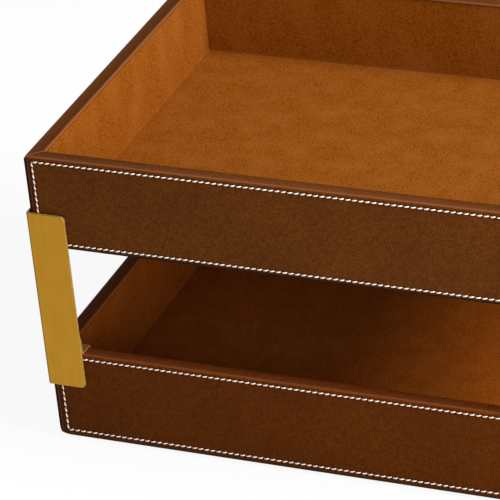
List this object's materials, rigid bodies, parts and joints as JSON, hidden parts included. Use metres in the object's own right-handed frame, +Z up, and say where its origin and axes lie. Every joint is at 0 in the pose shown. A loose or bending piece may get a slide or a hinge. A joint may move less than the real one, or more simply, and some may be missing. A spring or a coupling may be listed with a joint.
{
  "type": "two-tier letter tray",
  "caption": "Pair of leather-covered paper trays, the upper one carried over the lower one by brass corner brackets that lift off.",
  "frame": {"origin": "middle of the underside of the lower tray, on the surface it stands on", "axes": "+Z up, +X along the long front to the right as seen from the front, +Y from the front to the back"},
  "size_m": [0.3516, 0.2626, 0.1951],
  "materials": {
    "outer_leather": "smooth full-grain hide, waxed",
    "suede_lining": "napped suede",
    "wood_board": "bare board, hidden under the leather",
    "base_felt": "pressed wool felt",
    "satin_brass": "satin, brushed upwards, lacquered"
  },
  "bodies": {
    "lower_tray": {"lower_front_board": "wood_board", "lower_front_cover": "outer_leather", "lower_front_lining": "suede_lining", "lower_right_board": "wood_board", "lower_right_cover": "outer_leather", "lower_right_lining": "suede_lining", "lower_back_board": "wood_board", "lower_back_cover": "outer_leather", "lower_back_lining": "suede_lining", "lower_left_board": "wood_board", "lower_left_cover": "outer_leather", "lower_left_lining": "suede_lining", "lower_floor_board": "wood_board", "lower_floor_lining": "suede_lining", "lower_base_felt": "base_felt"},
    "upper_tray": {"upper_front_board": "wood_board", "upper_front_cover": "outer_leather", "upper_front_lining": "suede_lining", "upper_right_board": "wood_board", "upper_right_cover": "outer_leather", "upper_right_lining": "suede_lining", "upper_back_board": "wood_board", "upper_back_cover": "outer_leather", "upper_back_lining": "suede_lining", "upper_left_board": "wood_board", "upper_left_cover": "outer_leather", "upper_left_lining": "suede_lining", "upper_floor_board": "wood_board", "upper_floor_lining": "suede_lining", "upper_base_felt": "base_felt"},
    "bracket_front_left": {"front_left_corner_angle": "satin_brass", "front_left_rim_hook": "satin_brass", "front_left_tray_ledge": "satin_brass"},
    "bracket_front_right": {"front_right_corner_angle": "satin_brass", "front_right_rim_hook": "satin_brass", "front_right_tray_ledge": "satin_brass"},
    "bracket_back_left": {"back_left_corner_angle": "satin_brass", "back_left_rim_hook": "satin_brass", "back_left_tray_ledge": "satin_brass"},
    "bracket_back_right": {"back_right_corner_angle": "satin_brass", "back_right_rim_hook": "satin_brass", "back_right_tray_ledge": "satin_brass"}
  },
  "joints": [
    {"name": "bracket_front_left_lift", "type": "slide", "parent": "lower_tray", "child": "bracket_front_left", "axis": [0, 0, 1], "range_m": [0, 0.03]},
    {"name": "bracket_front_right_lift", "type": "slide", "parent": "lower_tray", "child": "bracket_front_right", "axis": [0, 0, 1], "range_m": [0, 0.03]},
    {"name": "bracket_back_left_lift", "type": "slide", "parent": "lower_tray", "child": "bracket_back_left", "axis": [0, 0, 1], "range_m": [0, 0.03]},
    {"name": "bracket_back_right_lift", "type": "slide", "parent": "lower_tray", "child": "bracket_back_right", "axis": [0, 0, 1], "range_m": [0, 0.03]},
    {"name": "upper_tray_lift", "type": "slide", "parent": "bracket_front_left", "child": "upper_tray", "axis": [0, 0, 1], "range_m": [0, 0.03]}
  ],
  "couplings": [
    {"joint": "bracket_front_right_lift", "follows": "bracket_front_left_lift", "ratio": 1},
    {"joint": "bracket_back_left_lift", "follows": "bracket_front_left_lift", "ratio": 1},
    {"joint": "bracket_back_right_lift", "follows": "bracket_front_left_lift", "ratio": 1}
  ]
}
